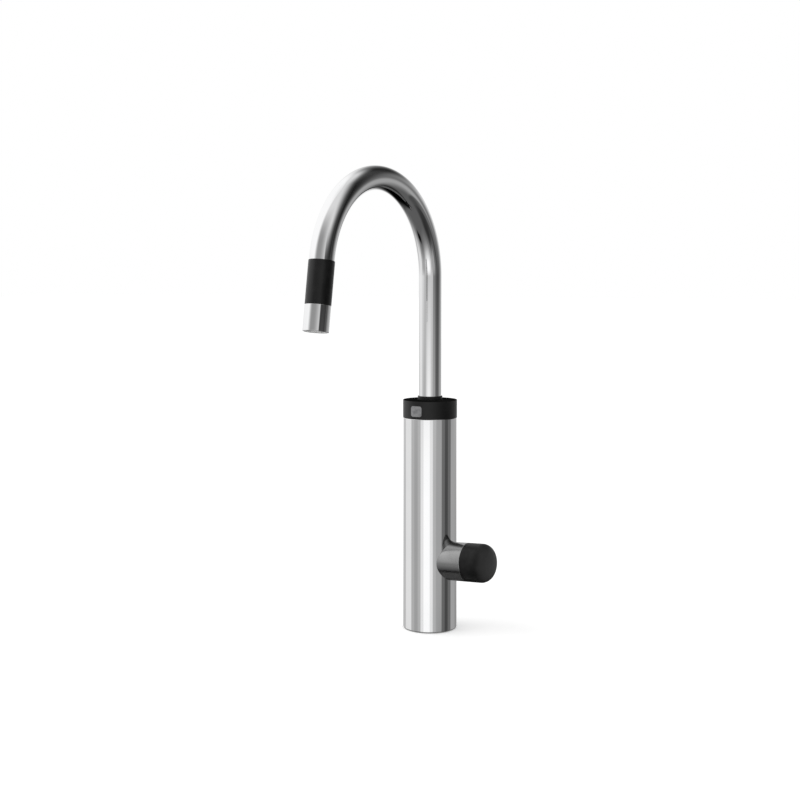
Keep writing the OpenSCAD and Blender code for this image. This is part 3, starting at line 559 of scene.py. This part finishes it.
# %% Shared effects
def group(name, inputs, output):
    """Starts a node group of number sockets, and gives its inputs and the output to link at the end."""
    tree = bpy.data.node_groups.new(name, "ShaderNodeTree")
    for label, value in inputs.items():
        socket = tree.interface.new_socket(name=label, in_out="INPUT", socket_type="NodeSocketFloat")
        socket.default_value = value
    tree.interface.new_socket(name=output, in_out="OUTPUT", socket_type="NodeSocketFloat")
    given, result = tree.nodes.new("NodeGroupInput"), tree.nodes.new("NodeGroupOutput")
    return tree, given.outputs, result.inputs[output]


def smudge_group():
    tree, given, result = group("smudges", {"Size": 30.0}, "Mask")
    wide = noise(tree, on_piece(tree), given["Size"], Detail=5.0, Roughness=0.6)
    tree.links.new(masked(tree, wide, 0.45, 0.75), result)
    return tree


def grain_group():
    tree, given, result = group("grain", {"Size": 1500.0}, "Height")
    place = on_piece(tree)
    fine = noise(tree, place, given["Size"], Detail=3.0)
    cells = node(tree, "ShaderNodeTexVoronoi", {"Vector": place, "Scale": given["Size"]}).outputs[0]
    tree.links.new(worked_out(tree, "MULTIPLY", fine, cells), result)
    return tree


def scratch_group():
    tree, given, result = group("wiping_scratches", {"Fineness": 2600.0}, "Height")
    place = on_piece(tree)
    sheets = []
    for turn in (0.35, 1.2):
        stretch = {"Vector": place, "Rotation": (turn, turn / 2, 0.4), "Scale": (1, 1, 0.05)}
        laid = node(tree, "ShaderNodeMapping", stretch).outputs[0]
        sheets.append(noise(tree, laid, given["Fineness"], Detail=2.0))
    tree.links.new(worked_out(tree, "MULTIPLY", *sheets), result)
    return tree


SMUDGES, GRAIN, SCRATCHES = smudge_group(), grain_group(), scratch_group()


def use(tree, shared, values=None):
    """Places a shared effect in a material or the world, with its own values."""
    return node(tree, "ShaderNodeGroup", values, node_tree=shared).outputs[0]


print("shared effects:", [shared.name for shared in (SMUDGES, GRAIN, SCRATCHES)])

# %% [markdown]
# Polished chrome is almost a mirror. What tells it from a perfect one is a faint change of
# roughness where hands and water have been, and hair-fine marks from wiping. The other finishes
# differ from it in their values and their relief, so one function makes them all: smudges move
# the colour and the roughness from as made to worn, and a bump gives the relief.

# %% Polished chrome
def drifting(name, colour, worn, rough, rougher, patches, relief, depth, **values):
    """A finish that drifts from as made to worn in soft patches, over a relief of a depth in metres."""
    made, tree, sockets = material(name, **values)
    smudge = use(tree, SMUDGES, {"Size": patches})
    tree.links.new(tinted(tree, smudge, (*colour, 1), (*worn, 1)), sockets["Base Color"])
    tree.links.new(spread(tree, smudge, rough, rougher), sockets["Roughness"])
    bump = node(tree, "ShaderNodeBump", {"Height": relief(tree), "Distance": depth, "Strength": 1.0})
    tree.links.new(bump.outputs[0], sockets["Normal"])
    return made


def scratched(tree):
    return use(tree, SCRATCHES)


CHROME = drifting("polished_chrome", (0.95, 0.95, 0.955), (0.92, 0.925, 0.93), 0.03, 0.075, 25.0,
                  scratched, 4e-7, Metallic=1.0)
print("made", CHROME.name)

# %% [markdown]
# A moulding takes its surface from the mould: black plastic and the grip have a fine grain that
# breaks up the highlights, and the colour drifts a little. A texture of the grain could be painted,
# but a noise in the bump follows every curve by itself.

# %% Moulded plastics and rubber
def grey(level):
    return level, level, level


def moulded(name, colour, worn, rough, grain_size, grain_depth, patches=40.0, **values):
    """A moulded finish with a grain of its own size and depth."""
    def grained(tree):
        return use(tree, GRAIN, {"Size": grain_size})

    return drifting(name, colour, worn, rough, rough + 0.08, patches, grained, grain_depth, **values)


BLACK = moulded("black_moulding", grey(0.006), grey(0.012), 0.36, 1800.0, 1e-5, Specular_IOR_Level=0.4)
GRIP = moulded("grip_moulding", grey(0.003), grey(0.007), 0.34, 1400.0, 2e-5, patches=90.0,
               Specular_IOR_Level=0.5)
RUBBER = moulded("seal_rubber", grey(0.04), grey(0.06), 0.6, 1200.0, 2e-5)
WHITE = moulded("white_moulding", (0.78, 0.78, 0.77), (0.72, 0.72, 0.71), 0.35, 1500.0, 1e-5)
LENS = moulded("lens_plastic", (0.25, 0.25, 0.255), (0.12, 0.12, 0.125), 0.22, 900.0, 4e-6, patches=260.0)
print("made", [finish.name for finish in (BLACK, GRIP, RUBBER, WHITE, LENS)])

# %% [markdown]
# Inside the faucet are turned brass, drawn copper and steel, ceramic discs, and the carbon block in
# its fleece. They hardly show, but each still gets its own colour and relief, so that the faucet
# also looks right when it is taken apart.

# %% Finishes of the pieces inside, and the table of all slots
def metal(name, colour, dull, rough):
    """A plain metal that was turned or drawn: its colour and shine drift, with fine marks."""
    return drifting(name, colour, dull, rough, rough + 0.15, 60.0, scratched, 4e-6, Metallic=1.0)


FINISHES = {
    "chrome": CHROME, "black_plastic": BLACK, "black_grip": GRIP, "rubber": RUBBER,
    "white_plastic": WHITE, "lens": LENS,
    "brass": metal("turned_brass", (0.72, 0.52, 0.26), (0.55, 0.40, 0.2), 0.28),
    "copper_tube": metal("copper_tube", (0.80, 0.45, 0.30), (0.6, 0.33, 0.22), 0.3),
    "steel": metal("stainless_steel", (0.62, 0.61, 0.60), (0.5, 0.5, 0.49), 0.3),
    "ceramic": moulded("ceramic_disc", (0.85, 0.84, 0.80), (0.8, 0.79, 0.76), 0.12, 3000.0, 1e-6),
    "carbon": moulded("carbon_block", (0.02, 0.02, 0.021), (0.035, 0.035, 0.036), 0.85, 700.0, 2e-4),
    "fleece": moulded("fleece_wrap", (0.70, 0.70, 0.67), (0.6, 0.6, 0.58), 0.9, 900.0, 1.5e-4),
    "circuit": moulded("circuit_board", (0.02, 0.12, 0.05), (0.03, 0.16, 0.07), 0.35, 1200.0, 1e-5),
    "light": moulded("status_light", (0.75, 0.76, 0.72), (0.7, 0.7, 0.68), 0.2, 900.0, 4e-6),
}
print("finishes for slots:", sorted(FINISHES))

# %% [markdown]
# Four pieces differ from the rest of their slot. The collar's top is etched in the mould where its side
# is polished. The hub's chrome is rougher and a darker grey, painted shade in its reflections. The knob
# is painted
# paler at its end: a painted highlight where the light falls on it. The gasket is pale grey silicone. The
# first and the third change along the piece, so a mask from the height or the reach of a point on the
# piece does it in one material.

# %% Finishes of single pieces
def graded(finish, suffix, axis, start, end, curve="LINEAR"):
    """Copies a finish and adds a mask that grows along an axis of the piece, in metres."""
    made = finish.copy()
    made.name = finish.name + suffix
    tree = made.node_tree
    along = node(tree, "ShaderNodeSeparateXYZ", {0: on_piece(tree)}).outputs[axis]
    return made, tree, tree.nodes["Principled BSDF"].inputs, masked(tree, along, start, end, curve)


def etched_top(finish, start, end, shine, rough):
    """Dulls a finish along Z in metres, towards the top of the collar."""
    made, tree, sockets, mask = graded(finish, "_matt_top", "Z", start, end)
    shiny, roughness = sockets["Specular IOR Level"], sockets["Roughness"]
    tree.links.new(spread(tree, mask, shiny.default_value, shine), shiny)
    tree.links.new(blended(tree, mask, roughness.links[0].from_socket, rough), roughness)
    return made


def painted_highlight_end(finish, start, end, colour):
    """Paints a highlight into a finish along X in metres: paler towards the end of the knob."""
    made, tree, sockets, mask = graded(finish, "_painted_highlight_end", "X", start, end, "SMOOTHSTEP")
    base = sockets["Base Color"]
    tree.links.new(tinted(tree, mask, base.links[0].from_socket, (*colour, 1)), base)
    return made


KNOB_MOULDING = moulded("knob_moulding", grey(0.005), grey(0.018), 0.42, 1600.0, 1e-5, patches=70.0,
                        Specular_IOR_Level=0.25)
OWN_FINISHES = {
    "collar_cap": etched_top(BLACK, (COLLAR_TOP - 0.3) * MM, (COLLAR_TOP - 0.1) * MM, 0.0, 0.9),
    # the hub's chrome is a darker grey: painted shade in its reflections
    "handle_hub": metal("painted_shade_hub", grey(0.42), grey(0.36), 0.2),
    # the knob's end gets a painted highlight: its black is paler where the light falls
    "knob_cap": painted_highlight_end(KNOB_MOULDING, 0.057, 0.066, grey(0.036)),
    "foot_ring": moulded("grey_silicone", (0.34, 0.34, 0.335), (0.28, 0.28, 0.275), 0.5, 1200.0, 1e-5),
}
print("finishes of single pieces:", {name: finish.name for name, finish in OWN_FINISHES.items()})

# %% [markdown]
# Each new piece takes the finish of its slot, and a CAD solid that stays gets the same kind of
# finish through the material slots of its own object.

# %% Give every piece its finish
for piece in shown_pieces():
    name = piece.get("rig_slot")
    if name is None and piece.get("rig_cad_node"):
        name = piece.data.materials[0].name.split(".")[0] if piece.data.materials else "none"
    finish = OWN_FINISHES.get(piece.name) or FINISHES[name]
    print(piece.name, "->", finish.name)
    if piece.data.materials:
        for index in range(len(piece.data.materials)):
            piece.data.materials[index] = finish
    else:
        piece.data.materials.append(finish)

# %% [markdown]
# The photographer's camera stands in front and to the right, a little above the middle of the
# faucet. It looks down by less than three degrees, and a small shift of the lens keeps the whole
# faucet in the picture without tilting the verticals.

# %% Camera
LOOK = radians(32.694)
LOOK_DOWN = 2.472
CAMERA_PLACE = Vector((618.0, -1014.4, 322.4)) * MM
camera_data = bpy.data.cameras.new("camera")
camera = bpy.data.objects.new("camera", camera_data)
bpy.context.scene.collection.objects.link(camera)
bpy.context.scene.camera = camera
camera_data.lens, camera_data.sensor_width, camera_data.shift_y = 57.87, 36, -0.08
camera.location = CAMERA_PLACE
camera.rotation_euler = (radians(90 - LOOK_DOWN), 0, LOOK)
print("the camera stands at", in_mm(camera.location), "mm")

# %% [markdown]
# Chrome has no colour of its own: it shows what stands round it. So the studio is a circle of cards
# and soft boxes, as a photographer would set them up round a shiny thing. They could be lit planes
# in the scene, but drawn in the world's shader they are far enough away for every view, and only
# reflections see them. A card has a compass direction in degrees from the camera's side, a height
# in degrees, a soft edge and a tone.

# %% One studio card as a node group
CARD_MEASURES = {
    "Direction": 0.0, "Half Width": 10.0, "Middle": 0.0, "Half Height": 180.0,
    "Soft Sides": 3.0, "Soft Ends": 3.0, "Tone": 0.5}


def card_group():
    tree, given, result = group(
        "studio_card", {"Behind": 1.0, "Compass": 0.0, "Height": 0.0, **CARD_MEASURES}, "Tone")

    def inside(distance, half, soft):
        outer = worked_out(tree, "ADD", half, soft)
        inner = worked_out(tree, "SUBTRACT", half, soft)
        return masked(tree, worked_out(tree, "ABSOLUTE", distance), outer, inner, "SMOOTHSTEP")

    turn = worked_out(tree, "SUBTRACT", given["Compass"], given["Direction"])
    turn = worked_out(tree, "WRAP", turn, 180.0, -180.0)
    rise = worked_out(tree, "SUBTRACT", given["Height"], given["Middle"])
    sides = inside(turn, given["Half Width"], given["Soft Sides"])
    ends = inside(rise, given["Half Height"], given["Soft Ends"])
    cover = worked_out(tree, "MULTIPLY", sides, ends)
    tree.links.new(blended(tree, cover, given["Behind"], given["Tone"]), result)
    return tree


CARD = card_group()
print("a card is set by", list(CARD_MEASURES))

# %% [markdown]
# The straight body and the leg of the spout mirror a narrow band round the horizon, so its cards
# are plain strips, one beside the other: a white strip in front, a pale wall on the left and a grey
# one on the right with a black card in it. The bend looks higher and shows the large cards there.
# Its underside and the hub look down, at a few dark things near the floor.

# %% The cards of the studio
# from and to in degrees, tone; a later card stands in front of the ones before it
LOW_CARDS = {
    "grey_ring": (-150, 150, 0.63), "left_edge": (-150, -128, 0.74), "pale_wall": (-128, -87, 0.89),
    "wall_end": (-87, -72, 0.69), "strip_frame": (-55, 24, 0.70), "strip_halo": (-42, 11, 0.91),
    "white_strip": (-29, -2, 1.02), "dark_side": (50, 98, 0.41), "black_card": (65, 81, 0.29)}
# direction, half width, middle height, half height, soft sides, soft ends, tone
HIGH_CARDS = {
    "front_wall": (-48, 59, 24, 27, 35, 19, 0.57), "dark_case": (94, 25, 23, 36, 35, 28, 0.09),
    "dark_shelf": (55, 27, 8, 10, 5, 21, 0.13), "back_card": (139, 33, 38, 17, 35, 12, 0.17),
    "window": (-116, 56, 38, 44, 18, 24, 1.0)}
FLOOR_CARDS = {
    "dark_doorway": (172, 34, -55, 34, 16, 18, 0.03), "dark_counter": (51, 18, -36, 14, 12, 10, 0.2),
    "counter_edge": (-74, 16, -46, 5, 8, 4, 0.06)}
# The low cards are strips without ends: middle height, half height, soft sides, soft ends.
STRIP = (0, 180, 2.5, 3)
# They dim towards the floor, whose own tone takes over between 30 and 60 degrees down, and the
# high cards take over round the horizon.
FALL = ((-45, 0.57), (-30, 0.76), (-17, 0.99), (-5, 1.0))
TO_FLOOR, TO_HIGH = (-30, -60), (-10, 5)
BACK_TONE, CEILING_TONE, FLOOR_TONE = 0.99, 0.86, 0.36
print("studio cards:", [*LOW_CARDS, *FLOOR_CARDS, *HIGH_CARDS])

# %% [markdown]
# The cards' tones are written as they look on a screen, and raised to a power of 2.2 they become
# light. Everything that isn't a reflection gets one plain level of light from all round, and the
# camera sees a white background, also through what is clear.

# %% Hang the cards in the world
SCREEN_POWER = 2.2
ROOM_LIGHT = 0.8


def studio():
    world = bpy.data.worlds.new("studio")
    bpy.context.scene.world = world
    world.use_nodes = True
    tree = world.node_tree
    tree.nodes.clear()
    ray = node(tree, "ShaderNodeTexCoord").outputs["Generated"]

    def along(direction):
        product = node(tree, "ShaderNodeVectorMath", {0: ray, 1: direction}, operation="DOT_PRODUCT")
        return product.outputs["Value"]

    to_right, to_camera = along((cos(LOOK), sin(LOOK), 0)), along((sin(LOOK), -cos(LOOK), 0))
    compass = worked_out(tree, "DEGREES", worked_out(tree, "ARCTAN2", to_right, to_camera))
    upward = node(tree, "ShaderNodeSeparateXYZ", {0: ray}).outputs["Z"]
    height = worked_out(tree, "DEGREES", worked_out(tree, "ARCSINE", upward))

    def put(behind, *measures):
        """Hangs a card in front of a tone or of the cards before it."""
        card = dict(zip(CARD_MEASURES, measures))
        return use(tree, CARD, {"Behind": behind, "Compass": compass, "Height": height, **card})

    low = BACK_TONE
    for start, end, tone in LOW_CARDS.values():
        low = put(low, (start + end) / 2, (end - start) / 2, *STRIP, tone)
    fall = node(tree, "ShaderNodeValToRGB", {0: masked(tree, height, -90, 90)})
    stops = fall.color_ramp.elements
    while len(stops) < len(FALL):
        stops.new(0.5)
    for stop, (degree, level) in zip(stops, FALL):
        stop.position, stop.color = (degree + 90) / 180, (level, level, level, 1)
    low = worked_out(tree, "MULTIPLY", low, fall.outputs[0])
    low = blended(tree, masked(tree, height, *TO_FLOOR), low, FLOOR_TONE)
    for card in FLOOR_CARDS.values():
        low = put(low, *card)
    high = CEILING_TONE
    for card in HIGH_CARDS.values():
        high = put(high, *card)
    tone = blended(tree, masked(tree, height, *TO_HIGH, "SMOOTHSTEP"), low, high)

    path = node(tree, "ShaderNodeLightPath").outputs
    reflected = worked_out(tree, "POWER", tone, SCREEN_POWER)
    level = blended(tree, path["Is Glossy Ray"], ROOM_LIGHT, reflected)
    plain = worked_out(tree, "MAXIMUM", path["Is Camera Ray"], path["Is Transmission Ray"])
    level = blended(tree, plain, level, 1.0)
    sky = node(tree, "ShaderNodeBackground", {"Color": (1, 1, 1, 1), "Strength": level})
    tree.links.new(sky.outputs[0], tree.nodes.new("ShaderNodeOutputWorld").inputs[0])
    print("the world has", len(tree.nodes), "nodes")


studio()

# %% [markdown]
# A soft lamp from the upper left gives the light a direction and lays a weak shadow on the floor.
# A large lamp makes that shadow soft, and reflections leave it out, because the cards are there
# for them.

# %% Lamp
LAMP_PLACE, LAMP_AIM = Vector((-1.2, -1.0, 2.0)), Vector((0, 0, 0.2))
bpy.context.scene.view_settings.view_transform = "Standard"
clear()
bpy.ops.object.light_add(type="AREA", location=LAMP_PLACE)
lamp = bpy.context.object
lamp.name, lamp.data.size, lamp.data.energy = "soft_lamp", 1.6, 13
lamp.rotation_euler = (LAMP_AIM - LAMP_PLACE).to_track_quat("-Z", "Y").to_euler()
lamp.visible_glossy = False
print("the lamp gives", lamp.data.energy, "W")

# %% [markdown]
# The floor is pale and matt. For the camera it glows a little, just enough to come out white while
# it keeps the faucet's shadow, and it lets reflections through to the cards. It lies a hair lower
# than the foot, because two faces in one plane would flicker.

# %% Floor
FLOOR_SIZE, FLOOR_Z, FLOOR_GLOW = 40, -0.3 * MM, 0.32
bpy.ops.mesh.primitive_plane_add(size=FLOOR_SIZE, location=(0, 0, FLOOR_Z))
floor = bpy.context.object
floor.name = "floor"
floor_finish, floor_tree, floor_sockets = material("pale_floor", Roughness=0.9, Specular_IOR_Level=0.0)
floor_sockets["Base Color"].default_value = (0.9, 0.9, 0.9, 1)
floor_sockets["Emission Color"].default_value = (1, 1, 1, 1)
floor_path = node(floor_tree, "ShaderNodeLightPath").outputs
own_light = worked_out(floor_tree, "MULTIPLY", floor_path["Is Camera Ray"], FLOOR_GLOW)
floor_tree.links.new(own_light, floor_sockets["Emission Strength"])
matt, through = floor_tree.nodes["Principled BSDF"], node(floor_tree, "ShaderNodeBsdfTransparent")
seen_floor = node(floor_tree, "ShaderNodeMixShader", {
    0: floor_path["Is Glossy Ray"], 1: matt.outputs[0], 2: through.outputs[0]})
floor_tree.links.new(seen_floor.outputs[0], floor_tree.nodes["Material Output"].inputs[0])
floor.data.materials.append(floor_finish)
print("the floor lies at", in_mm(floor.location)[2], "mm")
